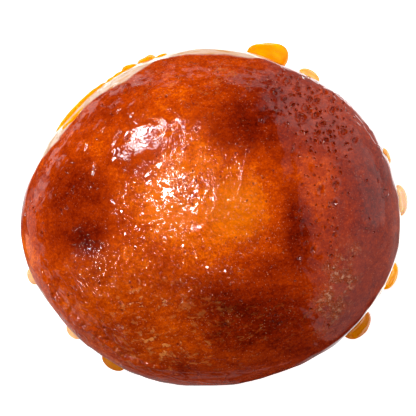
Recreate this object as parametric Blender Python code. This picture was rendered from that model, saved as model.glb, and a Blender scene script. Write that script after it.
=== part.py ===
"""A glazed, jelly filled doughnut: one plump round of fried dough with no hole, and the
drips of set glaze that hang under its widest ring. Metres, +Z up; the origin is the middle
of the flat underside that it stands on."""

import math

import bmesh
import bpy
from mathutils import Vector

MM = 0.001

# The dough. The widest ring, where it floated in the oil, is an oval LENGTH by WIDTH.
LENGTH = 89.6 * MM
WIDTH = 79.2 * MM
TOP_RISE = 24.0 * MM  # from the widest ring up to the crown
BASE_DROP = 20.0 * MM  # from the widest ring down to the underside
TOP_PLUMPNESS = 2.25  # 2 is an ellipse, more is boxier
BASE_PLUMPNESS = 2.5
FLAT_SHARE = 0.055  # the share of the base's round that standing has pressed flat
BEARINGS = 84  # points round a ring
LATITUDES = 34  # rings from the underside to the crown

# The pale ring is a shallow channel just under the widest ring.
CHANNEL_LATITUDE = -8.0
CHANNEL_SPREAD = 7.0
CHANNEL_DEPTH = 0.5 * MM

# Swells (+) and flats (-) of the round dough: bearing, latitude, spread in degrees, height.
SWELLS = (
    (147, 0, 25, -2.4 * MM),
    (185, 0, 9, 0.5 * MM),
    (218, 0, 13, -1.0 * MM),
    (252, 0, 13, 0.5 * MM),
    (302, 0, 22, -0.5 * MM),
    (30, 0, 12, -0.4 * MM),
    (53, 0, 14, -0.5 * MM),
    (62, 20, 20, -0.6 * MM),
    (20, 24, 22, 0.5 * MM),
    (150, 46, 24, 0.9 * MM),
    (330, 44, 26, 0.7 * MM),
    (240, 48, 22, -0.6 * MM),
    (70, 56, 24, 0.5 * MM),
)

# Glaze drips on the flank: bearing in degrees, then the width across, the length down the
# flank, and how far the drip stands out past the widest ring.
DRIPS = (
    (70.6, 9.8 * MM, 11.0 * MM, 4.4 * MM),
    (112.2, 4.9 * MM, 8.0 * MM, 2.0 * MM),
    (139.6, 14.5 * MM, 7.0 * MM, 0.9 * MM),
    (198.4, 4.2 * MM, 6.5 * MM, 1.1 * MM),
    (219.9, 4.9 * MM, 7.5 * MM, 1.8 * MM),
    (236.2, 6.2 * MM, 8.0 * MM, 1.8 * MM),
    (323.9, 8.3 * MM, 11.0 * MM, 3.2 * MM),
    (342.0, 7.2 * MM, 9.5 * MM, 2.2 * MM),
    (5.1, 7.6 * MM, 8.5 * MM, 1.9 * MM),
    (19.2, 5.2 * MM, 7.0 * MM, 1.4 * MM),
    (54.8, 5.7 * MM, 7.5 * MM, 1.7 * MM),
)
DRIP_TOP_LATITUDE = 4.0
DRIP_NECK = 0.85  # the width of a drip's top as a share of its width
DRIP_SAG = 0.35  # how much fuller a drip is at its foot than at its middle
DRIP_SEGMENTS = 16
DRIP_RINGS = 10
GAP = 0.3 * MM  # glaze to dough

CRUST_COLOUR = (0.42, 0.10, 0.012)
GLAZE_COLOUR = (1.0, 0.40, 0.01)


def clear_scene():
    for thing in list(bpy.data.objects):
        bpy.data.objects.remove(thing)


def turned_from(bearing, other):
    """The angle between two bearings, in degrees, at most 180."""
    return abs((bearing - other + 180.0) % 360.0 - 180.0)


def swelling(bearing, latitude):
    """How far the dough stands out past the smooth round in that direction."""
    total = 0.0
    round_share = math.cos(math.radians(latitude))
    for at, level, spread, height in SWELLS:
        across = turned_from(bearing, at) * max(round_share, 0.2)
        total += height * math.exp(-(across**2 + (latitude - level) ** 2) / spread**2)
    channel = (latitude - CHANNEL_LATITUDE) / CHANNEL_SPREAD
    return total - CHANNEL_DEPTH * math.exp(-(channel**2))


def skin_point(bearing, latitude):
    """A point of the dough's surface. Latitude is 0 on the widest ring and 90 at the crown."""
    around, up = math.radians(bearing), math.radians(latitude)
    plumpness = TOP_PLUMPNESS if latitude > 0 else BASE_PLUMPNESS
    out = max(math.cos(up), 0.0) ** (2 / plumpness)
    rise = abs(math.sin(up)) ** (2 / plumpness)
    oval = (LENGTH / 2) * (WIDTH / 2)
    oval /= math.hypot(WIDTH / 2 * math.cos(around), LENGTH / 2 * math.sin(around))
    swell = swelling(bearing, latitude)
    reach = oval * out + swell * math.cos(up)
    if latitude > 0:
        height = BASE_DROP + TOP_RISE * rise + swell * math.sin(up)
    else:
        height = BASE_DROP - BASE_DROP * (1 + FLAT_SHARE) * rise
    return Vector((reach * math.cos(around), reach * math.sin(around), max(height, 0.0)))


def outward(bearing, latitude):
    """The direction straight out of the dough's surface."""
    step = 0.5
    east = skin_point(bearing + step, latitude) - skin_point(bearing - step, latitude)
    north = skin_point(bearing, latitude + step) - skin_point(bearing, latitude - step)
    return east.cross(north).normalized()


def material(name, colour, roughness):
    made = bpy.data.materials.new(name)
    made.use_nodes = True
    shader = made.node_tree.nodes["Principled BSDF"]
    shader.inputs["Base Color"].default_value = (*colour, 1.0)
    shader.inputs["Roughness"].default_value = roughness
    shader.inputs["Metallic"].default_value = 0.0
    return made


def add_object(name, shape, finish):
    mesh = bpy.data.meshes.new(name)
    shape.to_mesh(mesh)
    shape.free()
    mesh.shade_smooth()
    mesh.materials.append(finish)
    made = bpy.data.objects.new(name, mesh)
    bpy.context.scene.collection.objects.link(made)
    return made


def flat_latitude():
    """The latitude below which the underside is pressed flat."""
    flat_rise = 1 / (1 + FLAT_SHARE)
    return -math.degrees(math.asin(flat_rise ** (BASE_PLUMPNESS / 2)))


def make_doughnut(finish):
    """Rings of points from the edge of the flat underside up to the crown, skinned with quads."""
    shape = bmesh.new()
    lowest = flat_latitude()
    rings = []
    for level in range(LATITUDES):
        latitude = lowest + (90.0 - lowest) * level / LATITUDES
        bearings = [360.0 * turn / BEARINGS for turn in range(BEARINGS)]
        rings.append([shape.verts.new(skin_point(b, latitude)) for b in bearings])
    for below, above in zip(rings, rings[1:]):
        for here in range(BEARINGS):
            after = (here + 1) % BEARINGS
            shape.faces.new((below[here], below[after], above[after], above[here]))
    crown = shape.verts.new(skin_point(0.0, 90.0))
    for here in range(BEARINGS):
        shape.faces.new((rings[-1][here], rings[-1][(here + 1) % BEARINGS], crown))
    for point in rings[0]:
        point.co.z = 0.0
    shape.faces.new(list(reversed(rings[0])))
    return add_object("doughnut", shape, finish)


def make_drip(number, bearing, width, length, stand_out, finish):
    """A ball pressed onto the flank: its inner half lies along the dough, a gap away, and its
    outer half is the drop, fuller towards its foot and drawn in to a neck at its top."""
    shape = bmesh.new()
    bmesh.ops.create_uvsphere(
        shape, u_segments=DRIP_SEGMENTS, v_segments=DRIP_RINGS, radius=1.0
    )
    top = skin_point(bearing, DRIP_TOP_LATITUDE)
    foot_latitude = DRIP_TOP_LATITUDE
    while (skin_point(bearing, foot_latitude) - top).length < length:
        foot_latitude -= 0.25
    widest = skin_point(bearing, 0.0).xy.length
    half_turn = math.degrees(width / 2 / widest)
    away = Vector((math.cos(math.radians(bearing)), math.sin(math.radians(bearing)), 0.0))
    for point in shape.verts:
        across, along, out = point.co
        fullness = (1 - along) / 2  # 0 at the top of the drip and 1 at its foot
        latitude = DRIP_TOP_LATITUDE + (foot_latitude - DRIP_TOP_LATITUDE) * fullness
        where = bearing + across * half_turn * (DRIP_NECK + (1 - DRIP_NECK) * fullness)
        skin = skin_point(where, latitude)
        tucked_under = max(widest - skin_point(bearing, latitude).xy.length, 0.0)
        lump = max(out, 0.0) * (1 - DRIP_SAG * along) / (1 + DRIP_SAG**2 / 2)
        point.co = skin + outward(where, latitude) * GAP + away * lump * (stand_out + tucked_under)
    return add_object(f"glaze_drip_{number:02d}", shape, finish)


def main():
    clear_scene()
    crust = material("fried_crust", CRUST_COLOUR, 0.35)
    glaze = material("set_glaze", GLAZE_COLOUR, 0.12)
    make_doughnut(crust)
    for number, (bearing, width, length, stand_out) in enumerate(DRIPS, start=1):
        make_drip(number, bearing, width, length, stand_out, glaze)


main()
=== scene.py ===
"""A glazed, jelly filled doughnut as a Blender add-on: the browned crust under its syrup, the
drips of set syrup round its flank, and the studio it stands in. Every piece is modelled round
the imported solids, in metres, with the doughnut's underside at the origin."""

import math

import bpy
from bpy.props import FloatProperty, FloatVectorProperty, PointerProperty
from bpy.types import Operator, Panel, PropertyGroup
from mathutils import Euler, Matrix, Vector
from mathutils.bvhtree import BVHTree


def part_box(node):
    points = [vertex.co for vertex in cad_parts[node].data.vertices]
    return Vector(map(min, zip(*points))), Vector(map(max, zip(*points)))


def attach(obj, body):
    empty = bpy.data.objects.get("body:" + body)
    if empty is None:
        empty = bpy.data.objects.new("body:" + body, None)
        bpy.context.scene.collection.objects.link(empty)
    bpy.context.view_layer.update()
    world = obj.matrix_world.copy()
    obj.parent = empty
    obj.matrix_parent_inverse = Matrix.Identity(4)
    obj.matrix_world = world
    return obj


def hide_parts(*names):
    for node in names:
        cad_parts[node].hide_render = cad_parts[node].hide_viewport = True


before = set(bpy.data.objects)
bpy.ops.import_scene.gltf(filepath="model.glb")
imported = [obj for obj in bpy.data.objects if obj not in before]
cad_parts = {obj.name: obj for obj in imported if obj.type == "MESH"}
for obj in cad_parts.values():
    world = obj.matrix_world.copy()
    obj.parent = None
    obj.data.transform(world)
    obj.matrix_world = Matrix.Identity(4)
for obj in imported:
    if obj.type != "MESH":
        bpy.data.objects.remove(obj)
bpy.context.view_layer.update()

bl_info = {
    "name": "Glazed Filled Doughnut",
    "version": (1, 0, 0),
    "blender": (4, 5, 0),
    "location": "View3D > Sidebar > Doughnut",
    "description": "Models a syrup glazed filled doughnut round its packed solids",
    "category": "Add Mesh",
}

MM = 0.001
DRIPS = sorted(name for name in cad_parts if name.startswith("glaze_drip"))


def linear(hex_colour):
    """An sRGB hex colour as the linear red, green, blue and alpha that Blender mixes."""
    channels = [int(hex_colour[at : at + 2], 16) / 255 for at in (1, 3, 5)]
    return (
        *(c / 12.92 if c <= 0.04045 else ((c + 0.055) / 1.055) ** 2.4 for c in channels),
        1.0,
    )


# ---------------------------------------------------------------- sizes and colours


class DoughnutSizes(PropertyGroup):
    swell: FloatProperty(
        name="Swells", description="Height of the broad swells of the dough",
        default=0.35 * MM, min=0.0, unit="LENGTH",
    )
    roll: FloatProperty(
        name="Rolls", description="Height of the low rolls a finger's width apart",
        default=0.30 * MM, min=0.0, unit="LENGTH",
    )
    streak: FloatProperty(
        name="Streaks", description="Height of the runs of syrup that lie round the rim",
        default=0.08 * MM, min=0.0, unit="LENGTH",
    )
    wrinkle: FloatProperty(
        name="Wrinkles", description="Height of the wrinkles in the skin of the setting syrup",
        default=0.11 * MM, min=0.0, unit="LENGTH",
    )
    pit: FloatProperty(
        name="Burst bubbles", description="Depth of the bubbles that burst in the setting syrup",
        default=0.30 * MM, min=0.0, unit="LENGTH",
    )
    bead_mesh: FloatProperty(
        name="Drip mesh", description="Spacing of the points that a drip of syrup is made of",
        default=0.25 * MM, min=0.05 * MM, unit="LENGTH",
    )


class DoughnutColours(PropertyGroup):
    crumb: FloatVectorProperty(
        name="Crumb", description="Pale dough of the ring that floated above the oil",
        default=linear("#EFCFB6"), size=4, subtype="COLOR",
    )
    honey: FloatVectorProperty(
        name="Honey", description="Thin golden crust, and syrup over the pale ring",
        default=linear("#E29418"), size=4, subtype="COLOR",
    )
    orange: FloatVectorProperty(
        name="Orange crust", description="Crust under clear syrup where it browned least",
        default=linear("#FF7000"), size=4, subtype="COLOR",
    )
    copper: FloatVectorProperty(
        name="Copper crust", description="Crust under syrup, lightly browned",
        default=linear("#CC4400"), size=4, subtype="COLOR",
    )
    russet: FloatVectorProperty(
        name="Russet crust", description="Crust under syrup, well browned",
        default=linear("#A42D00"), size=4, subtype="COLOR",
    )
    chestnut: FloatVectorProperty(
        name="Chestnut crust", description="Crust under syrup, deeply browned",
        default=linear("#821A00"), size=4, subtype="COLOR",
    )
    mahogany: FloatVectorProperty(
        name="Mahogany crust", description="Crust that browned most",
        default=linear("#5A0A00"), size=4, subtype="COLOR",
    )
    syrup: FloatVectorProperty(
        name="Syrup", description="Amber of the syrup where it set in a thick drop",
        default=linear("#FFA000"), size=4, subtype="COLOR",
    )


def sizes():
    return bpy.context.scene.doughnut_sizes


def colours():
    return bpy.context.scene.doughnut_colours


# Small marks and painted light, which lie thinly over the colours of the crust and the syrup.
# painted glow: a lighter colour laid on the crown's middle, standing in for light
PAINTED_GLOW = linear("#FF8200")  # the crown's middle, where light goes deepest
GOLDEN_FLECK = linear("#FFA04C")
BLISTER_BROWN = linear("#AC4A12")
BLISTER_CRUMB = linear("#F2B48C")
# partly painted reflection: pinkish-tan marks that also stand in for sheen on the syrup
CLOUDY_MARK_AND_SHEEN = linear("#D87E38")
# painted highlight: pale points that stand in for tiny glints on the gloss
PAINTED_GLINT_COLOUR = linear("#FFB88C")
RING_EDGE = linear("#E08A60")
DEEP_AMBER = linear("#F58400")
# painted shade: darker amber for drips that hang in shade
PAINTED_SHADE_AMBER = linear("#B05E00")
GRAINED_SUGAR = linear("#F2DCC0")

# Where each thing lies on the doughnut, seen from above.
ZONES = {
    # x, y, across, along in mm, turn in degrees, share of the radius that is full
    "pitted_shoulder": (24, 25, 8.5, 15, 48, 0.5),
    "stray_pits": (30, 6, 14, 24, 0, 0.4),
    "few_small_pits": (25, 8, 7, 22, 0, 0.4),
    "many_small_pits": (24, 24, 11, 17, 48, 0.4),
    "lone_pits": (0, 0, 42, 38, 0, 0.9),
    "left_pits": (-41, -3, 6, 9, 0, 0.4),
    "wrinkled_crown": (-7, 8, 20, 18, 0, 0.5),
    "wrinkled_left": (-27, -10, 9, 7, 0, 0.2),
    "wrinkled_front": (-12, -24, 32, 16, 12, 0.4),
    "blister": (29, -15, 5.5, 14, -14, 0.2),
    "front_ridge": (-26, -27, 19, 24, 45, 0.5),
    # cloudy marks, partly painted reflection
    "marks_and_sheen_front": (-8, -28, 28, 12, 5, 0.4),
    "marks_and_sheen_right": (22, -23, 13, 13, 0, 0.3),
    "marks_and_sheen_back": (-4, 31, 24, 8, 0, 0.3),
    "drops_back_left": (-28, 18, 10, 24, -35, 0.6),
    "drops_front_left": (-30, -25, 8, 22, 37, 0.5),
    "drops_back": (6, 33, 22, 5.5, -6, 0.5),
    "runs_left": (-36, 12, 48, 48, 0, 0.6),
    "threads_left": (-30, -25, 13, 26, 45, 0.5),
    "threads_front": (-4, -36, 24, 8, 0, 0.4),
    "threads_back_right": (33, 20, 9, 13, 40, 0.4),
    "glints": (-4, -3, 20, 22, 0, 0.6),
    "glint_cluster": (-27, -9.5, 8, 5.5, 15, 0.5),
    # painted glow: where the crown's middle is painted lighter
    "painted_glow_middle": (5, 2, 10, 10, 0, 0.2),
    "golden_front": (-12, -26, 44, 22, -8, 0.3),
    "flecks_high": (-14.5, -19, 8, 4, 0, 0.3),
    "flecks_low": (-11, -29, 8, 5, 0, 0.3),
    "flecks_around": (-14, -22, 24, 14, 5, 0.3),
    # painted glints: where pale points stand in for tiny highlights
    "painted_glints_middle": (6, -3, 19, 17, 0, 0.3),
    "painted_glints_front": (-8, -26, 34, 14, 0, 0.3),
    "painted_glints_back": (-4, 31, 26, 9, 0, 0.3),
    "fuller_back": (2, 41, 18, 9, 0, 0.4),
    "fuller_front": (-13, -38, 13, 8, -18, 0.4),
    "fuller_right": (43, -10, 9, 20, 0, 0.4),
    # painted shade on the drips
    "painted_shade_drip_right": (37, -25, 9, 9, 0, 0.6),
    "painted_shade_drip_front": (-22, -36, 9, 9, 0, 0.6),
}
RIM_RADIUS = 42.0  # mm, about that of the dough's widest ring


# ---------------------------------------------------------------- nodes


def add(tree, kind, sockets=None, **settings):
    """Adds one node with its settings. Each socket is given a number, a colour or an output
    to link to."""
    made = tree.nodes.new(kind)
    for name, value in settings.items():
        setattr(made, name, value)
    for name, value in (sockets or {}).items():
        if isinstance(value, bpy.types.NodeSocket):
            tree.links.new(value, made.inputs[name])
        else:
            made.inputs[name].default_value = value
    return made


def maths(tree, operation, *values):
    numbered = dict(enumerate(values))
    return add(tree, "ShaderNodeMath", numbered, operation=operation).outputs[0]


def vectors(tree, operation, *values, **named):
    """Maths on places. A dot product or a length gives a number, and all else a place."""
    sockets = dict(enumerate(values)) | named
    made = add(tree, "ShaderNodeVectorMath", sockets, operation=operation)
    return made.outputs["Value" if operation in ("DOT_PRODUCT", "LENGTH") else "Vector"]


def chained(tree, operation, values):
    result, *others = values
    for value in others:
        result = maths(tree, operation, result, value)
    return result


def total(tree, *values):
    return chained(tree, "ADD", values)


def product(tree, *values):
    return chained(tree, "MULTIPLY", values)


def greatest(tree, *values):
    return chained(tree, "MAXIMUM", values)


def between(tree, value, low, high, to_low=0.0, to_high=1.0):
    """A soft step from to_low at low to to_high at high."""
    sockets = {
        "Value": value, "From Min": low, "From Max": high, "To Min": to_low, "To Max": to_high,
    }
    made = add(tree, "ShaderNodeMapRange", sockets, interpolation_type="SMOOTHSTEP")
    return made.outputs["Result"]


def turned(tree, at, degrees):
    """The same place, in axes that are turned about the upright."""
    if not degrees:
        return at
    sockets = {"Vector": at, "Angle": math.radians(-degrees)}
    return add(tree, "ShaderNodeVectorRotate", sockets, rotation_type="Z_AXIS").outputs[0]


def grain(tree, at, size, detail=2.0, roughness=0.5, distortion=0.0, stretch=(1, 1, 1), turn=0.0):
    """Noise about 0, of lumps size millimetres across. Stretch lengthens them along an axis
    that is turned about the upright by turn degrees."""
    shrink = tuple(1 / (longer * size) for longer in stretch)
    sockets = {
        "Vector": vectors(tree, "MULTIPLY", turned(tree, at, turn), shrink), "Scale": 1.0,
        "Detail": detail, "Roughness": roughness, "Distortion": distortion,
    }
    return maths(tree, "SUBTRACT", add(tree, "ShaderNodeTexNoise", sockets).outputs[0], 0.5)


def oval(tree, at, x, y, across, along, turn=0.0, full=0.0):
    """1 in the middle of an upright oval column and 0 from its edge on. Full is the share of
    its radius that stays at 1."""
    off_middle = turned(tree, vectors(tree, "SUBTRACT", at, (x, y, 0)), turn)
    flat = vectors(tree, "MULTIPLY", off_middle, (1 / across, 1 / along, 0))
    return between(tree, vectors(tree, "LENGTH", flat), full, 1.0, 1.0, 0.0)


def zone(tree, at, name, share=1.0):
    """One of the named places: share in its middle and 0 from its edge on."""
    drawn = oval(tree, at, *ZONES[name])
    return drawn if share == 1.0 else product(tree, drawn, share)


def height_of(tree, at):
    return add(tree, "ShaderNodeSeparateXYZ", {0: at}).outputs[2]


def in_millimetres(tree, position):
    return vectors(tree, "SCALE", position, Scale=1 / MM)


def round_the_rim(tree, at):
    """A place told by its bearing and by how far down the dough it lies, so that noise on it
    can be drawn out round the rim. One millimetre stays about one millimetre near the rim."""
    level = vectors(tree, "MULTIPLY", at, (1, 1, 0))
    bearing = vectors(tree, "SCALE", vectors(tree, "NORMALIZE", level), Scale=RIM_RADIUS)
    out = vectors(tree, "LENGTH", level)
    down = maths(tree, "MULTIPLY_ADD", height_of(tree, at), -0.5, out)
    lift = add(tree, "ShaderNodeCombineXYZ", {2: down}).outputs[0]
    return vectors(tree, "ADD", bearing, lift)


# ---------------------------------------------------------------- the crust's patterns
# They are drawn once, and some are used twice: as relief in the mesh and in the material.


def ragged(tree, at, size, reach):
    """The same place, shifted by up to about half of reach millimetres by noise of that size,
    so that a shape drawn on it comes out uneven."""
    scaled = vectors(tree, "SCALE", at, Scale=1 / size)
    noise = add(tree, "ShaderNodeTexNoise", {"Vector": scaled, "Scale": 1.0, "Detail": 1.0})
    shift = vectors(tree, "SUBTRACT", noise.outputs[1], (0.5, 0.5, 0.5))
    return vectors(tree, "MULTIPLY_ADD", shift, (reach, reach, 0), at)


def bubbles(tree, at, spacing, radius, chance, stretch=1.35, turn=-35.0):
    """How deep in a burst bubble a point is, 0 to 1, and its raised lip. Chance is a field
    from 0 to 1: how many of the cells have a bubble."""
    uneven = turned(tree, ragged(tree, at, 1.1, 0.9), turn)
    flat = vectors(tree, "MULTIPLY", uneven, (1 / spacing, 1 / spacing / stretch, 0))
    cells = add(
        tree, "ShaderNodeTexVoronoi", {"Vector": flat, "Scale": 1.0, "Randomness": 0.9},
        voronoi_dimensions="2D",
    )
    draw = add(tree, "ShaderNodeSeparateXYZ", {0: cells.outputs["Color"]})
    there = maths(tree, "LESS_THAN", draw.outputs[0], chance)
    reach = maths(tree, "MULTIPLY_ADD", draw.outputs[1], radius / spacing, 0.5 * radius / spacing)
    share = maths(tree, "DIVIDE", cells.outputs["Distance"], reach)
    pit = product(tree, there, between(tree, share, 0.1, 1.0, 1.0, 0.0))
    lip_in = between(tree, share, 0.8, 1.15)
    lip_out = between(tree, share, 1.15, 1.9, 1.0, 0.0)
    return pit, product(tree, there, lip_in, lip_out)


def burst_bubbles(tree, at):
    """Large bubbles crowd on the crown's back right shoulder, and small ones thin out down
    the right of it, with a few at the left and a lone one here and there."""
    crowd = total(
        tree, zone(tree, at, "pitted_shoulder", 0.95), zone(tree, at, "stray_pits", 0.10)
    )
    large, large_lip = bubbles(tree, at, 2.1, 0.48, crowd)
    few = total(
        tree, zone(tree, at, "few_small_pits", 0.45), zone(tree, at, "many_small_pits", 0.55),
        zone(tree, at, "lone_pits", 0.04), zone(tree, at, "left_pits", 0.30),
    )
    small, small_lip = bubbles(tree, at, 1.3, 0.26, few, 1.3, 20)
    pit = greatest(tree, large, small)
    return pit, greatest(tree, large_lip, product(tree, small_lip, 0.5))


def wrinkled(tree, at):
    """Where the setting syrup wrinkled: over the crown's left and down to the front left,
    with smooth islands between."""
    crown_and_left = greatest(
        tree, zone(tree, at, "wrinkled_crown"), zone(tree, at, "wrinkled_left", 1.3)
    )
    front = zone(tree, at, "wrinkled_front", 0.60)
    islands = between(tree, grain(tree, at, 4.5, 2, 0.5, 0.3), -0.10, 0.06, 0.25, 1.0)
    return product(tree, islands, total(tree, crown_and_left, front, 0.10))


def facets(tree, at, size, chance, slope):
    """Flat glints: small patches of skin, each tipped its own way, so that here and there one
    catches a lamp. Slope is the steepest, in millimetres a millimetre. The patches are drawn
    coarser than the finest real ones, so that each can still be told from its neighbours."""
    scaled = vectors(tree, "SCALE", at, Scale=1 / size)
    cells = add(tree, "ShaderNodeTexVoronoi", {"Vector": scaled, "Scale": 1.0, "Randomness": 1.0})
    colour = cells.outputs["Color"]
    draw = add(tree, "ShaderNodeSeparateXYZ", {0: colour})
    there = maths(tree, "LESS_THAN", draw.outputs[0], chance)
    # the patches that are there share a low first number, so the tip is turned by a radian,
    # or they would all lean the same way
    tip = vectors(tree, "SUBTRACT", colour, (0.5, 0.5, 0.5))
    tip = turned(tree, tip, math.degrees(-1.0))
    from_middle = vectors(tree, "SUBTRACT", scaled, cells.outputs["Position"])
    rise = vectors(tree, "DOT_PRODUCT", tip, from_middle)
    inside = between(tree, cells.outputs["Distance"], 0.35, 0.60, 1.0, 0.0)
    return product(tree, there, inside, rise, 2 * slope * size)


def blistered(tree, at):
    """The rough patch on the right where the skin blistered through the syrup."""
    patch = zone(tree, ragged(tree, at, 5.0, 9.0), "blister")
    return product(tree, patch, between(tree, grain(tree, at, 2.4, 3, 0.7), -0.14, 0.10))


def front_ridge(tree, at):
    """The edge that the syrup's skin drew up along the front left, just inside the rim: a
    wavering line about 31 mm up."""
    wobble = product(tree, grain(tree, at, 5, 3, 0.7), 6.0)
    off_line = maths(tree, "ABSOLUTE", total(tree, height_of(tree, at), wobble, -31.0))
    line = between(tree, off_line, 0.0, 1.1, 1.0, 0.0)
    return product(tree, line, zone(tree, at, "front_ridge"))


def threads(tree, at, size, width):
    """Thin raised threads, where one run of syrup set over the edge of another."""
    wander = maths(tree, "ABSOLUTE", grain(tree, at, size, 2, 0.6, 0.5))
    return between(tree, wander, 0.0, width, 1.0, 0.0)


def cloudy_marks_and_sheen(tree, at):
    """Small marks, most of them across the front: partly dull ones, where the syrup's skin crazed
    and went cloudy, and partly painted reflection, pinkish sheen laid into the colour."""
    marks = between(tree, grain(tree, at, 1.1, 3, 0.75, 0.6, (1.8, 1, 1), 10), 0.03, 0.15)
    groups = between(tree, grain(tree, at, 5.0, 2, 0.6), -0.08, 0.10, 0.15, 1.0)
    where = greatest(
        tree, zone(tree, at, "marks_and_sheen_front"), zone(tree, at, "marks_and_sheen_right", 0.45),
        zone(tree, at, "marks_and_sheen_back", 0.8),
    )
    return product(tree, marks, groups, where)


def long_drops(tree, at):
    """Low drops drawn out along the rim at the left and the back, where the syrup ran and
    set."""
    runs = (
        # zone, spacing and radius in mm, how many, how far drawn out, turn in degrees
        ("drops_back_left", 3.4, 1.3, 0.9, 1.7, -35),
        ("drops_front_left", 3.2, 1.2, 0.8, 1.8, 37),
        ("drops_back", 2.8, 1.1, 0.8, 1.7, 80),
    )
    laid = []
    for name, spacing, radius, chance, stretch, turn in runs:
        where = zone(tree, at, name)
        many = product(tree, where, chance)
        raised = bubbles(tree, at, spacing, radius, many, stretch, turn)[0]
        laid.append(product(tree, where, raised))
    drops = total(tree, *laid)
    # fuller than a bubble's hollow, as a drop stands
    return product(tree, drops, maths(tree, "SUBTRACT", 2.0, drops))


FLOAT_HEIGHT = 21.5  # mm: the dough stayed pale up to about here
FLOAT_LIFTS = (
    # x, y, radius in mm, how much higher in mm
    (-32, 30, 32, 9.5),
    (41, -19, 13, 4.0),
    (22, -36, 14, 2.4),
    (45, 3, 18, 3.0),
    (3, 42, 18, 7.3),
    (-38, -20, 7, 5.0),
)


def float_line(tree, at):
    """The height up to which the dough stayed pale. It tilts: the ring climbs highest at the
    back left, and shows past the rim at a few other places."""
    line = FLOAT_HEIGHT
    for x, y, radius, lift in FLOAT_LIFTS:
        lifted = oval(tree, at, x, y, radius, radius, 0, 0.35)
        line = maths(tree, "MULTIPLY_ADD", lifted, lift, line)
    return maths(tree, "MULTIPLY_ADD", grain(tree, at, 4.5, 3, 0.6), 1.6, line)


# ---------------------------------------------------------------- materials


BROWNING_SPOTS = (
    # x, y, across, along in mm, turn in degrees, share that is full, how much browner
    (0, 4, 22, 19, 0, 0.50, -0.30),
    (-20, -7, 7, 12, 0, 0.30, -0.12),
    (-30, 1, 11, 14, 0, 0.40, 0.34),
    (-28, -5, 7, 5, 0, 0.10, 0.22),
    (-22, 25, 12, 9, 40, 0.30, 0.18),
    (13, 24, 11, 11, 0, 0.20, 0.22),
    (5, 19, 9, 10, 0, 0.20, 0.24),
    (20, -3, 5, 13, 0, 0.20, 0.33),
    (9, -23, 18, 10, 8, 0.30, 0.38),
    (-1, -18, 14, 7, 0, 0.20, 0.26),
    (24, 8, 7, 11, 0, 0.30, -0.20),
    (24, 1, 6, 9, 0, 0.20, -0.10),
    (37, 6, 8, 16, 0, 0.20, 0.18),
    (-12, 30, 16, 8, 20, 0.20, -0.06),
    (-38, -16, 9, 10, 0, 0.20, -0.02),
    (-43, -10, 5, 9, 10, 0.30, -0.26),
    (-12, -37, 24, 8, 0, 0.30, 0.20),
    (-26, -28, 16, 9, 0, 0.30, 0.12),
    (26, -26, 13, 10, 30, 0.20, 0.10),
    (-2, -33, 13, 6, 0, 0.30, 0.16),
    (-17, -12, 7, 7, 0, 0.30, -0.09),
)
BROWNING_CLOUDS = (
    # size in mm, detail, roughness, how far it is drawn out sideways, strength
    (11.0, 2, 0.5, 1.2, 0.50),
    (4.5, 2, 0.6, 1.5, 0.42),
    (1.8, 2, 0.8, 1.4, 0.58),
    (0.55, 1, 0.8, 1.0, 0.55),
)
GOLDEN = (1.0, 1.18, 1.0, 1.0)  # what the front's colour is multiplied by


def blend(tree, share, under, over, way="MIX"):
    """One colour laid over another, by a share from 0 to 1."""
    sockets = {0: share, 6: under, 7: over}
    return add(tree, "ShaderNodeMix", sockets, data_type="RGBA", blend_type=way).outputs[2]


def empty_material(name):
    made = bpy.data.materials.new(name)
    made.use_nodes = True
    made.node_tree.nodes.clear()
    return made


def browned_crust(tree, at):
    """Browner to the right and in dark patches, with large clouds, small clouds and specks
    as fine as crumb."""
    palette = colours()
    sideways = add(tree, "ShaderNodeSeparateXYZ", {0: at}).outputs[0]
    browning = between(tree, sideways, -12, 24, 0.345, 0.58)
    for x, y, across, along, turn, full, browner in BROWNING_SPOTS:
        spot = oval(tree, at, x, y, across, along, turn, full)
        browning = maths(tree, "MULTIPLY_ADD", spot, browner, browning)
    for size, detail, roughness, wide, strength in BROWNING_CLOUDS:
        cloud = grain(tree, at, size, detail, roughness, 0.3, (wide, 1, 1), 12)
        browning = maths(tree, "MULTIPLY_ADD", cloud, strength, browning)
    ramp = add(tree, "ShaderNodeValToRGB", {"Fac": browning})
    first, last = ramp.color_ramp.elements
    first.position, first.color = 0.0, palette.orange
    last.position, last.color = 1.0, palette.mahogany
    for name, position in (("copper", 0.25), ("russet", 0.5), ("chestnut", 0.75)):
        ramp.color_ramp.elements.new(position).color = getattr(palette, name)
    return ramp.outputs[0]


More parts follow.
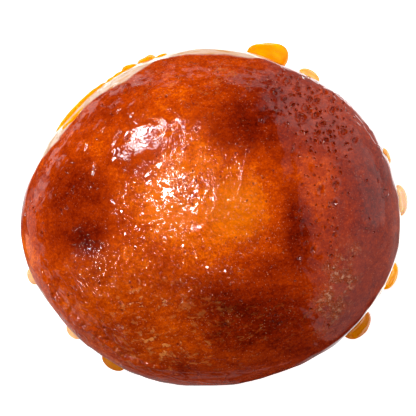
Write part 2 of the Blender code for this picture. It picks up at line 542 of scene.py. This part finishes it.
def crust_material():
    """Fried yeast dough under clear sugar syrup: the crust gives the orange to mahogany
    browning and its mottling, and the syrup a hard wet gloss over fine wrinkles."""
    made = empty_material("fried_dough_under_syrup")
    tree = made.node_tree
    palette = colours()
    at = in_millimetres(tree, add(tree, "ShaderNodeTexCoord").outputs["Object"])
    height = height_of(tree, at)
    round_rim = round_the_rim(tree, at)
    coloured = browned_crust(tree, at)

    # painted glow: the crown's middle is painted lighter, where light goes deepest; the front is
    # more golden, with flecks where the skin stayed thin
    coloured = blend(tree, zone(tree, at, "painted_glow_middle", 0.45), coloured, PAINTED_GLOW)
    coloured = blend(tree, zone(tree, at, "golden_front"), coloured, GOLDEN, "MULTIPLY")
    flecks = between(tree, grain(tree, at, 1.9, 3, 0.65), 0.06, 0.14)
    fleck_share = total(
        tree, zone(tree, at, "flecks_high"), zone(tree, at, "flecks_low"),
        zone(tree, at, "flecks_around", 0.35),
    )
    coloured = blend(tree, product(tree, flecks, fleck_share, 0.48), coloured, GOLDEN_FLECK)
    blister = blistered(tree, at)
    coloured = blend(tree, product(tree, blister, 0.6), coloured, BLISTER_BROWN)
    crumbly = between(tree, grain(tree, at, 1.1, 3, 0.65), 0.0, 0.20, 0.0, 0.75)
    coloured = blend(tree, product(tree, blister, crumbly), coloured, BLISTER_CRUMB)
    # cloudy marks, partly painted reflection: pinkish sheen laid into the colour
    marks_and_sheen = cloudy_marks_and_sheen(tree, at)
    coloured = blend(tree, product(tree, marks_and_sheen, 0.45), coloured, CLOUDY_MARK_AND_SHEEN)
    # painted glints: pale points, finer than half a millimetre and in loose groups, that stand in
    # for tiny highlights on the syrup's gloss
    points = between(tree, grain(tree, at, 0.36, 1, 0.5), 0.14, 0.26)
    groups = between(tree, grain(tree, at, 4.0, 2, 0.6), -0.15, 0.15, 0.3, 1.0)
    painted_glint_share = total(
        tree, 0.20, zone(tree, at, "painted_glints_middle", 0.35), zone(tree, at, "painted_glints_front", 0.12),
        zone(tree, at, "painted_glints_back", 0.25),
    )
    coloured = blend(tree, product(tree, points, groups, painted_glint_share), coloured, PAINTED_GLINT_COLOUR)
    pit, lip = burst_bubbles(tree, at)
    # the hollows of the burst bubbles are painted darker, chestnut
    coloured = blend(tree, product(tree, pit, 0.70), coloured, palette.chestnut)

    # the pale ring: crisp at its top, where the syrup ends, and fading to gold below
    line = float_line(tree, at)
    above = maths(tree, "SUBTRACT", height, line)
    foot = maths(tree, "MULTIPLY_ADD", line, -0.45, height)
    ring = product(
        tree, between(tree, above, -0.6, 0.6, 1.0, 0.0), between(tree, foot, 2.5, 6.0)
    )
    streaks = grain(tree, round_rim, 1.1, 3, 0.6, 0.3, (5, 5, 1))
    thin_syrup = between(tree, streaks, -0.02, 0.25)
    pale = blend(tree, product(tree, thin_syrup, 0.8), palette.crumb, palette.honey)
    near_line = between(tree, above, -3.0, -0.4)
    pale = blend(tree, product(tree, near_line, 0.12), pale, RING_EDGE)
    coloured = blend(tree, ring, coloured, pale)

    wrinkles = wrinkled(tree, at)
    glints = product(
        tree, between(tree, height, 29, 33), total(tree, zone(tree, at, "glints"), 0.12)
    )
    drawn_out = vectors(tree, "MULTIPLY", ragged(tree, round_rim, 2.5, 1.2), (0.5, 0.5, 1))
    rim_threads = total(
        tree, zone(tree, at, "threads_left"), zone(tree, at, "threads_front"),
        zone(tree, at, "threads_back_right", 0.6),
    )
    skin = (
        # what is drawn in the syrup's skin, and where, with its height in millimetres last
        (wrinkles, grain(tree, at, 1.0, 2, 0.6, 0.4), 0.11),
        (wrinkles, grain(tree, at, 0.45, 1, 0.6), 0.025),
        (blister, grain(tree, at, 1.1, 3, 0.7), 1.3),
        (grain(tree, at, 0.6, 1, 0.5), 0.004),
        (glints, facets(tree, at, 0.80, 0.42, 0.20)),
        (glints, facets(tree, ragged(tree, at, 1.0, 0.5), 0.45, 0.25, 0.32)),
        (zone(tree, at, "glint_cluster"), facets(tree, at, 0.55, 0.9, 0.40)),
        (rim_threads, threads(tree, drawn_out, 5.0, 0.05), 0.09),
        (long_drops(tree, at), 0.24),
        (flecks, fleck_share, 0.12),
        (marks_and_sheen, grain(tree, at, 0.7, 2, 0.7), 0.30),
        (pit, -0.22),
        (lip, 0.10),
    )
    raised = total(tree, *(product(tree, *layer) for layer in skin))
    sockets = {"Strength": 1.0, "Distance": MM, "Height": raised}
    bump = add(tree, "ShaderNodeBump", sockets).outputs[0]
    rough = between(tree, grain(tree, at, 1.2, 2), -0.3, 0.3, 0.35, 0.6)
    shader = add(
        tree, "ShaderNodeBsdfPrincipled",
        {
            "Base Color": coloured, "Roughness": rough, "IOR": 1.46,
            "Specular IOR Level": 0.005, "Coat Weight": 1.0, "Coat Roughness": 0.02,
            "Coat IOR": 1.48, "Normal": bump, "Coat Normal": bump,
        },
    )
    add(tree, "ShaderNodeOutputMaterial", {"Surface": shader.outputs[0]})
    return made


PALE_DRIPS = (
    # x, y, radius in mm, how far the sugar of the drip there has grained and gone pale
    (44.5, 4.0, 7, 0.45),
    (41.5, 14.5, 5, 0.15),
    (24.0, 34.0, 6, 0.12),
    (-32.0, -27.0, 6, 0.35),
    (-42.0, -14.0, 5, 0.35),
)


def syrup_material():
    """Set sugar syrup, thick enough to hold its own amber: light goes in and comes back glowing,
    under a thin gloss. It also has a painted glow, a little amber light of its own, that stands
    in for light from the table shining through it."""
    made = empty_material("set_sugar_syrup")
    tree = made.node_tree
    at = in_millimetres(tree, add(tree, "ShaderNodeTexCoord").outputs["Object"])
    cloud = between(tree, grain(tree, at, 3.0, 3), -0.25, 0.3)
    amber = blend(tree, cloud, colours().syrup, DEEP_AMBER)
    # painted shade: the drips at the front and at the right are painted a darker amber, as they
    # hang in shade
    in_painted_shade = greatest(
        tree, zone(tree, at, "painted_shade_drip_right"), zone(tree, at, "painted_shade_drip_front")
    )
    amber = blend(tree, in_painted_shade, amber, PAINTED_SHADE_AMBER)
    for x, y, size, share in PALE_DRIPS:
        grained = product(tree, oval(tree, at, x, y, size, size, 0, 0.6), share)
        amber = blend(tree, grained, amber, GRAINED_SUGAR)
    shader = add(
        tree, "ShaderNodeBsdfPrincipled",
        {
            "Base Color": amber, "Roughness": 0.3, "IOR": 1.48, "Specular IOR Level": 0.0,
            "Coat Weight": 0.18, "Coat Roughness": 0.03, "Coat IOR": 1.48,
            "Subsurface Weight": 0.6, "Subsurface Scale": 1.2 * MM,
            "Subsurface Radius": (1.0, 0.45, 0.05),
            # painted glow: the syrup gives a little amber light of its own, standing in for light
            # from the table that shines through the drips
            "Emission Color": amber, "Emission Strength": 0.22,
        },
    )
    add(tree, "ShaderNodeOutputMaterial", {"Surface": shader.outputs[0]})
    return made


# ---------------------------------------------------------------- modelling


def start(made_by, **where):
    """Adds a primitive with nothing else selected, and returns it."""
    bpy.ops.object.select_all(action="DESELECT")
    made_by(**where)
    return bpy.context.object


def take(piece):
    """Selects one piece and nothing else, and makes it the active one."""
    bpy.ops.object.select_all(action="DESELECT")
    bpy.context.view_layer.objects.active = piece
    piece.select_set(True)


def split_faces(piece, chosen):
    """Splits each face that the test chooses by its middle into four."""
    for part in (*piece.data.edges, *piece.data.vertices):
        part.select = False
    for face in piece.data.polygons:
        face.select = chosen(face.center)
    take(piece)
    bpy.ops.object.mode_set(mode="EDIT")
    bpy.ops.mesh.select_mode(type="FACE")
    bpy.ops.mesh.subdivide(number_cuts=1)
    bpy.ops.object.mode_set(mode="OBJECT")


def modify(piece, kind, **settings):
    """Adds a modifier and applies it at once."""
    take(piece)
    made = piece.modifiers.new(kind.title(), kind)
    for name, value in settings.items():
        setattr(made, name, value)
    bpy.ops.object.modifier_apply(modifier=made.name)


def subdivide_smoothly(piece, levels):
    modify(piece, "SUBSURF", levels=levels, render_levels=levels)


def settle(piece, name, finish):
    """Names a finished piece, puts its place into its mesh and gives it its material."""
    take(piece)
    bpy.ops.object.transform_apply(location=True, rotation=True, scale=True)
    bpy.ops.object.shade_smooth()
    piece.name = name
    piece.data.name = name
    piece.data.materials.clear()
    piece.data.materials.append(finish)
    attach(piece, "root")


def relief():
    """The node group that lifts and sinks the crust's surface."""
    tree = bpy.data.node_groups.new("skin_relief", "GeometryNodeTree")
    tree.is_modifier = True
    for way in ("INPUT", "OUTPUT"):
        tree.interface.new_socket("Geometry", in_out=way, socket_type="NodeSocketGeometry")
    source = add(tree, "NodeGroupInput")
    at = in_millimetres(tree, add(tree, "GeometryNodeInputPosition").outputs[0])
    height = height_of(tree, at)
    off_base = between(tree, height, 1.0, 6.0)
    on_top = between(tree, height, 24.0, 29.0)
    on_rim = product(
        tree, between(tree, height, 40.0, 33.0), between(tree, height, 20.0, 25.0),
        zone(tree, at, "runs_left"),
    )
    runs = grain(tree, round_the_rim(tree, at), 3.6, 1, 0.5, 0.6, (2, 2, 1))
    pit, lip = burst_bubbles(tree, at)
    # the browned skin and its syrup end in a small step above the pale ring
    ring_top = between(tree, maths(tree, "SUBTRACT", height, float_line(tree, at)), -1.2, 0.4)
    # and the flank is a little fuller here and there
    right = product(tree, zone(tree, at, "fuller_right"), between(tree, height, 27, 23), 0.7)
    fuller = product(
        tree, between(tree, height, 33.0, 26.0), between(tree, height, 6.0, 14.0),
        total(tree, zone(tree, at, "fuller_back"), zone(tree, at, "fuller_front"), right),
    )
    # noise reaches half its strength either way, so twice a height is asked of it
    tall = {
        name: 2 * getattr(sizes(), name) / MM for name in ("swell", "roll", "streak", "wrinkle")
    }
    depth = sizes().pit / MM
    layers = (
        # what is raised, and where, with its height in millimetres last
        (grain(tree, at, 16, 1), tall["swell"]),
        (grain(tree, at, 6.5, 2, 0.5, 0.4), tall["roll"]),
        (on_rim, runs, tall["streak"]),
        (wrinkled(tree, at), grain(tree, at, 2.0, 2, 0.6, 0.5), tall["wrinkle"]),
        (front_ridge(tree, at), 1.0),
        (ring_top, 0.12),
        (fuller, 0.55),
        (blistered(tree, at), grain(tree, at, 1.8, 3, 0.6), 0.6),
        (on_top, pit, -depth),
        (on_top, lip, 0.3 * depth),
    )
    lifted = total(tree, *(product(tree, *layer) for layer in layers))
    along = add(tree, "GeometryNodeInputNormal").outputs[0]
    offset = vectors(tree, "SCALE", along, Scale=product(tree, off_base, lifted, MM))
    moved = add(
        tree, "GeometryNodeSetPosition", {"Geometry": source.outputs[0], "Offset": offset}
    )
    add(tree, "NodeGroupOutput", {0: moved.outputs[0]})
    return tree


CAGE_CUTS = 9  # on each side of the cube that the dough is drawn from
CAGE_LEVELS = 3
SKIN_GROWN = 0.3 * MM  # makes up for what smoothing takes off the cage
CROWN_HEIGHT = 29.0 * MM  # above it the mesh is twice as fine
BUBBLED_MIDDLE, BUBBLED_RADIUS = Vector((25, 22)) * MM, 8.5 * MM  # and here as fine again


def in_bubbled_patch(middle):
    return middle.z > 0 and (middle.xy - BUBBLED_MIDDLE).length < BUBBLED_RADIUS


class DOUGHNUT_OT_crust(Operator):
    """Models the dough from a ball and draws its skin"""

    bl_idname = "doughnut.crust"
    bl_label = "Crust"

    def execute(self, context):
        low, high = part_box("doughnut")
        middle = (low + high) / 2
        ball = start(bpy.ops.mesh.primitive_cube_add, size=1.0, location=middle)
        bpy.ops.object.mode_set(mode="EDIT")
        bpy.ops.mesh.select_all(action="SELECT")
        bpy.ops.mesh.subdivide(number_cuts=CAGE_CUTS)
        bpy.ops.transform.tosphere(value=1.0)
        bpy.ops.object.mode_set(mode="OBJECT")
        reach = max(point.co.x for point in ball.data.vertices)
        bpy.ops.transform.resize(value=(high - low) / 2 / reach)
        bpy.ops.object.transform_apply(location=True, rotation=True, scale=True)
        modify(
            ball, "SHRINKWRAP", target=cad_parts["doughnut"],
            wrap_method="NEAREST_SURFACEPOINT", wrap_mode="ON_SURFACE", offset=SKIN_GROWN,
        )
        subdivide_smoothly(ball, CAGE_LEVELS)
        split_faces(ball, lambda middle: middle.z > CROWN_HEIGHT)
        split_faces(ball, in_bubbled_patch)
        modify(ball, "NODES", node_group=relief())
        for point in ball.data.vertices:
            point.co.z = max(point.co.z, 0.0)
        settle(ball, "glazed_crust", crust_material())
        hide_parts("doughnut")
        return {"FINISHED"}


METABALL_THRESHOLD = 0.6
METABALL_SHARE = 0.575  # of its radius: where a lone metaball's skin lies at that threshold
WIDEST_HEIGHT = 20 * MM  # where the dough's flank stands out furthest
CLEAR_OF_DOUGH = 100 * MM
THINNEST_LOBE, SUNK_IN_SKIN = 0.3 * MM, 0.5 * MM

# The lobes that a drip ran together from. Each has its place across the drip, from -1 to 1,
# its height up the drip, from 0 to 1, how far it stands out past the widest ring as a share
# of what the drip does, and its radii across, as a share of the half width, and up, of the
# length. A lobe may lie past the drip's ends, and one below 0 lies on the flank over the ring.
PLAIN_LOBES = (
    (0.55, 0.38, 0.75, 0.52, 0.32),
    (0.0, 0.34, 1.0, 0.62, 0.32),
    (-0.55, 0.38, 0.75, 0.52, 0.32),
    (0.25, 0.62, 0.62, 0.52, 0.26),
    (-0.25, 0.62, 0.62, 0.52, 0.26),
    (0.0, 0.84, 0.36, 0.66, 0.22),
    (0.30, 1.02, 0.10, 0.60, 0.20),
    (-0.35, 1.04, 0.10, 0.60, 0.20),
)
LOBES = {
    "glaze_drip_01": (
        (0.62, 0.42, 0.54, 0.46, 0.32), (0.22, 0.38, 0.76, 0.50, 0.32),
        (-0.20, 0.38, 0.90, 0.50, 0.32), (-0.64, 0.42, 0.92, 0.48, 0.30),
        (0.0, 0.68, 0.65, 0.85, 0.26), (0.0, 0.88, 0.30, 0.60, 0.18),
    ),
    "glaze_drip_02": (
        (0.45, 0.50, 0.45, 0.60, 0.36), (-0.45, 0.54, 0.55, 0.60, 0.34),
        (0.0, 0.90, 0.35, 0.8, 0.34), (2.15, 0.95, 0.35, 0.60, 0.34),
        (1.60, 1.05, 0.20, 0.60, 0.30), (3.1, 1.20, 0.10, 0.60, 0.24),
        (4.0, 1.25, 0.05, 0.70, 0.22), (-1.6, 1.05, 0.10, 0.80, 0.24),
    ),
    "glaze_drip_03": (
        (-1.35, 1.40, 0.05, 0.20, 0.26), (-0.95, 1.42, 0.15, 0.24, 0.32),
        (-0.60, 1.40, 0.35, 0.28, 0.40), (-0.25, 1.36, 0.50, 0.30, 0.46),
        (0.10, 1.34, 0.60, 0.30, 0.50), (0.45, 1.32, 0.70, 0.30, 0.52),
        (0.80, 1.30, 0.60, 0.26, 0.46), (1.10, 1.32, 0.30, 0.18, 0.36),
        (-0.35, 1.72, -0.6, 0.30, 0.40), (0.05, 1.80, -0.7, 0.32, 0.46),
        (0.45, 1.84, -0.7, 0.32, 0.48), (0.85, 1.74, -0.5, 0.28, 0.40),
        (-0.10, 0.80, 0.40, 0.30, 0.40), (0.40, 0.72, 0.50, 0.32, 0.44),
    ),
    "glaze_drip_10": (
        (0.35, 0.42, 0.45, 0.55, 0.30), (-0.35, 0.38, 0.5, 0.55, 0.30),
        (0.0, 0.70, 0.4, 0.60, 0.26), (0.2, 0.98, 0.2, 0.50, 0.26),
        (0.4, 1.14, 0.05, 0.40, 0.22),
    ),
}


def lobe(centre, radii, bearing):
    """One lobe of soft syrup: an ellipsoid that runs together with its neighbours. Lobes are
    laid in millimetres, because a metaball's mesh can't be finer than a few of its units."""
    bpy.ops.object.metaball_add(type="ELLIPSOID", radius=1.0, location=centre)
    drop = bpy.context.object
    ellipsoid = drop.data.elements[-1]
    across, up, out = (size / METABALL_SHARE for size in radii)
    ellipsoid.radius = max(across, up, out)
    ellipsoid.size_x = out / ellipsoid.radius
    ellipsoid.size_y = across / ellipsoid.radius
    ellipsoid.size_z = up / ellipsoid.radius
    ellipsoid.rotation = Euler((0, 0, bearing)).to_quaternion()
    return drop


def across_and_out(bearing):
    away = Vector((math.cos(bearing), math.sin(bearing), 0.0))
    return Vector((-away.y, away.x, 0.0)), away


def skin_reach(skin, place, away):
    """How far out the dough's skin is at a height, along the way the drip stands out."""
    hit = skin.ray_cast(place + away * CLEAR_OF_DOUGH, -away)[0]
    if hit is None:
        raise RuntimeError("a lobe of syrup lies past the dough")
    return hit.dot(away)


def run_together(node, dough):
    """Lays a drip's lobes on the dough and turns them into one mesh."""
    points = [point.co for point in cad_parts[node].data.vertices]
    low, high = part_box(node)
    middle = (low + high) / 2
    bearing = math.atan2(middle.y, middle.x)
    across, away = across_and_out(bearing)
    reach = max(point.dot(away) for point in points)
    sides = [point.dot(across) for point in points]
    centre, half = (max(sides) + min(sides)) / 2, (max(sides) - min(sides)) / 2
    length = high.z - low.z
    bpy.ops.object.select_all(action="DESELECT")
    for share, lift, out, wide, tall in LOBES.get(node, PLAIN_LOBES):
        place = across * (centre + share * half) + Vector((0, 0, low.z + lift * length))
        widest = skin_reach(dough, Vector((*place.xy, WIDEST_HEIGHT)), away)
        skin = skin_reach(dough, place, away)
        front = widest + out * (reach - widest)
        deep = max((front - skin) / 2, THINNEST_LOBE) + SUNK_IN_SKIN
        place += away * (front - deep)
        radii = (wide * half / MM, tall * length / MM, deep / MM)
        drop = lobe(place / MM, radii, bearing)
        if drop.mode == "OBJECT":  # the first lobe, which the rest join in edit mode
            drop.data.resolution = drop.data.render_resolution = sizes().bead_mesh / MM
            drop.data.threshold = METABALL_THRESHOLD
            bpy.ops.object.mode_set(mode="EDIT")
    bpy.ops.object.mode_set(mode="OBJECT")
    bpy.ops.object.convert(target="MESH")
    drop = bpy.context.object
    bpy.ops.object.transform_apply(location=True, rotation=True, scale=True)
    bpy.ops.transform.resize(value=(MM, MM, MM), center_override=(0, 0, 0))
    modify(drop, "SMOOTH", factor=0.5, iterations=3)
    return drop


class DOUGHNUT_OT_drips(Operator):
    """Models the drips of set syrup on the flank"""

    bl_idname = "doughnut.drips"
    bl_label = "Syrup drips"

    def execute(self, context):
        syrup = syrup_material()
        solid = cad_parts["doughnut"].data
        dough = BVHTree.FromPolygons(
            [point.co for point in solid.vertices], [face.vertices for face in solid.polygons]
        )
        for node in DRIPS:
            drip = run_together(node, dough)
            settle(drip, node.replace("glaze", "syrup"), syrup)
            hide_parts(node)
        return {"FINISHED"}


# ---------------------------------------------------------------- the studio


def point_at(thing, target):
    direction = Vector(target) - thing.location
    thing.rotation_euler = direction.to_track_quat("-Z", "Y").to_euler()


def lit_oval(name, place, target, size, bearing, radiance):
    """An oval lamp, its long way at a bearing. Its radiance is that of its face, where 1 is
    as bright as white paper."""
    bpy.ops.object.light_add(type="AREA", location=place)
    lamp = bpy.context.object
    lamp.name = name
    point_at(lamp, target)
    along = Vector((math.cos(bearing), math.sin(bearing), 0))
    along.rotate(lamp.rotation_euler.to_quaternion().inverted())
    lamp.rotation_euler.rotate_axis("Z", math.atan2(along.y, along.x))
    lamp.data.shape = "ELLIPSE"
    lamp.data.size, lamp.data.size_y = size
    face = math.pi / 4 * size[0] * size[1]
    lamp.data.energy = radiance * math.pi * face
    lamp.visible_camera = False


WINDOW_BEARING = 5.0  # the tall white window stands to the right, a little to the back
WINDOW_EDGE = 0.49  # how far to the right a ray must lean to meet it: 1 is level
WINDOW_SOFT = 0.01
DIM_ROOM = 0.006  # the rest of the room
WHITE_CARDS = (
    # bearing, half width, softness, lowest and highest elevation in degrees, edge, radiance;
    # one that starts below -90 has no lower edge
    (32, 36, 5, -20, 22, 3, 0.95),
    (20, 44, 14, -60, 20, 10, 0.40),
    (140, 32, 6, -20, -9, 1.5, 1.90),
    (134, 18, 6, -46, -37, 2, 1.10),
    (84, 22, 8, -6, 3, 1.5, 1.10),
    (183, 13, 6, -42, -8, 1.5, 0.60),
    (215, 16, 6, -80, -24, 3, 0.45),
    (218, 22, 6, -12, -5, 1.5, 1.50),
    (262, 26, 8, -30, -23, 2, 0.30),
    (50, 16, 6, 5, 34, 4, 1.35),
    (252, 22, 6, -80, -38, 3, 0.20),
    (60, 110, 20, -91, -56, 5, 2.40),
    (270, 60, 20, -91, -78, 5, 0.40),
)
STEP_GAP = 0.001  # keeps the ends of a card's lower edge apart


def facing(tree, way, bearing):
    ahead = (math.cos(math.radians(bearing)), math.sin(math.radians(bearing)), 0)
    return vectors(tree, "DOT_PRODUCT", way, ahead)


def studio_light():
    """The room that lights the syrup's gloss: dark, with a window, big white cards stood
    round and the white table below."""
    world = bpy.data.worlds.new("studio_cards")
    world.use_nodes = True
    tree = world.node_tree
    tree.nodes.clear()
    way = add(tree, "ShaderNodeTexCoord").outputs["Generated"]
    up = add(tree, "ShaderNodeSeparateXYZ", {0: way}).outputs[2]
    level = vectors(tree, "NORMALIZE", vectors(tree, "MULTIPLY", way, (1, 1, 0)))
    across = facing(tree, way, WINDOW_BEARING)
    window = product(
        tree, between(tree, across, WINDOW_EDGE - WINDOW_SOFT, WINDOW_EDGE + WINDOW_SOFT),
        between(tree, up, 0.80, 0.30, 0.38, 0.66),  # dimmer towards its head
        between(tree, up, -0.35, 0.2, 0.55, 1.0),  # dimmer towards its sill
        between(tree, up, -0.75, -0.4),  # and ends there
    )
    brightness = maths(tree, "MAXIMUM", DIM_ROOM, window)
    for bearing, *in_degrees, radiance in WHITE_CARDS:
        half, soft, lowest, highest, edge = (math.radians(angle) for angle in in_degrees)
        card = between(
            tree, facing(tree, level, bearing), math.cos(half + soft), math.cos(half - soft)
        )
        if lowest > math.radians(-90):
            foot = math.sin(lowest - edge) - STEP_GAP
            card = product(tree, card, between(tree, up, foot, math.sin(lowest + edge)))
        head = (math.sin(highest - edge), math.sin(highest + edge))
        card = product(tree, card, between(tree, up, *head, 1.0, 0.0), radiance)
        brightness = maths(tree, "MAXIMUM", brightness, card)
    sky = add(tree, "ShaderNodeBackground", {"Color": (1, 1, 1, 1), "Strength": brightness})
    add(tree, "ShaderNodeOutputWorld", {"Surface": sky.outputs[0]})
    return world


def plain_paper(name, colour, glow):
    """Matt seamless paper with a little light of its own, so that it shows no horizon."""
    made = bpy.data.materials.new(name)
    made.use_nodes = True
    shader = made.node_tree.nodes["Principled BSDF"]
    for socket, value in {
        "Base Color": colour, "Roughness": 0.9, "Specular IOR Level": 0.0,
        "Emission Color": (1, 1, 1, 1), "Emission Strength": glow,
    }.items():
        shader.inputs[socket].default_value = value
    return made


KEY_LAMPS = (
    # name, azimuth, how far off straight overhead in degrees, length and width in metres,
    # which way it lies, radiance
    ("key_lamp_left", 121, 41, 0.25, 0.055, 56, 80.0),
    ("key_lamp_low", 129, 34, 0.16, 0.04, 0, 22.0),
    ("key_lamp_back", 98, 36.5, 0.06, 0.035, 75, 85.0),
    ("key_lamp_top", 145, 13, 0.12, 0.10, 0, 95.0),
    ("glint_lamp_left", 209, 47, 0.09, 0.07, 20, 100.0),
)
LAMP_DISTANCE = 0.9
LAMP_TARGET = (0, 0, 30 * MM)
TABLE_SIZE, BACKDROP_RADIUS = 5.0, 2.4
CAMERA_PLACE = (-0.5 * MM, 2.2 * MM, 0.52)  # straight above, and looking straight down
CAMERA_SENSOR, CAMERA_LENS = 36.0, 184.0  # mm
CAMERA_NEAR, CAMERA_FAR = 0.05, 10.0


class DOUGHNUT_OT_studio(Operator):
    """Sets up the white table, the backdrop, the lamps and the overhead camera"""

    bl_idname = "doughnut.studio"
    bl_label = "Studio"

    def execute(self, context):
        floor = start(bpy.ops.mesh.primitive_plane_add, size=TABLE_SIZE, location=(0, 0, 0))
        floor.name = "white_table"
        floor.data.materials.append(plain_paper("white_paper", (0.8, 0.8, 0.8, 1), 0.90))
        floor.visible_glossy = False

        backdrop = start(
            bpy.ops.mesh.primitive_uv_sphere_add, segments=48, ring_count=24,
            radius=BACKDROP_RADIUS,
        )
        backdrop.name = "pale_backdrop"
        backdrop.data.materials.append(plain_paper("backdrop_paper", (0, 0, 0, 1), 1.0))
        for ray in ("diffuse", "glossy", "transmission", "volume_scatter", "shadow"):
            setattr(backdrop, f"visible_{ray}", False)

        context.scene.world = studio_light()
        for name, azimuth, off, length, width, bearing, radiance in KEY_LAMPS:
            azimuth, off, bearing = (math.radians(angle) for angle in (azimuth, off, bearing))
            level = Vector((math.cos(azimuth), math.sin(azimuth), 0)) * math.sin(off)
            place = (level + Vector((0, 0, math.cos(off)))) * LAMP_DISTANCE
            lit_oval(name, place, LAMP_TARGET, (length, width), bearing, radiance)

        bpy.ops.object.camera_add(location=CAMERA_PLACE, rotation=(0, 0, 0))
        camera = bpy.context.object
        camera.name = "overhead_camera"
        camera.data.sensor_width = CAMERA_SENSOR
        camera.data.lens = CAMERA_LENS
        camera.data.clip_start, camera.data.clip_end = CAMERA_NEAR, CAMERA_FAR
        context.scene.camera = camera
        context.scene.view_settings.view_transform = "Standard"
        return {"FINISHED"}


class DOUGHNUT_PT_panel(Panel):
    """Lists the doughnut's sizes, colours and steps in the sidebar"""

    bl_label = "Glazed filled doughnut"
    bl_idname = "DOUGHNUT_PT_panel"
    bl_space_type = "VIEW_3D"
    bl_region_type = "UI"
    bl_category = "Doughnut"

    def draw(self, context):
        column = self.layout.column()
        for group in (context.scene.doughnut_sizes, context.scene.doughnut_colours):
            for name in group.__annotations__:
                column.prop(group, name)
        for step in STEPS:
            column.operator(step.bl_idname)


STEPS = (DOUGHNUT_OT_studio, DOUGHNUT_OT_crust, DOUGHNUT_OT_drips)
CLASSES = (DoughnutSizes, DoughnutColours, *STEPS, DOUGHNUT_PT_panel)


def register():
    for each in CLASSES:
        bpy.utils.register_class(each)
    bpy.types.Scene.doughnut_sizes = PointerProperty(type=DoughnutSizes)
    bpy.types.Scene.doughnut_colours = PointerProperty(type=DoughnutColours)


def unregister():
    del bpy.types.Scene.doughnut_colours
    del bpy.types.Scene.doughnut_sizes
    for each in reversed(CLASSES):
        bpy.utils.unregister_class(each)


def main():
    register()
    bpy.ops.doughnut.studio()
    bpy.ops.doughnut.crust()
    bpy.ops.doughnut.drips()


if __name__ == "__main__":
    main()
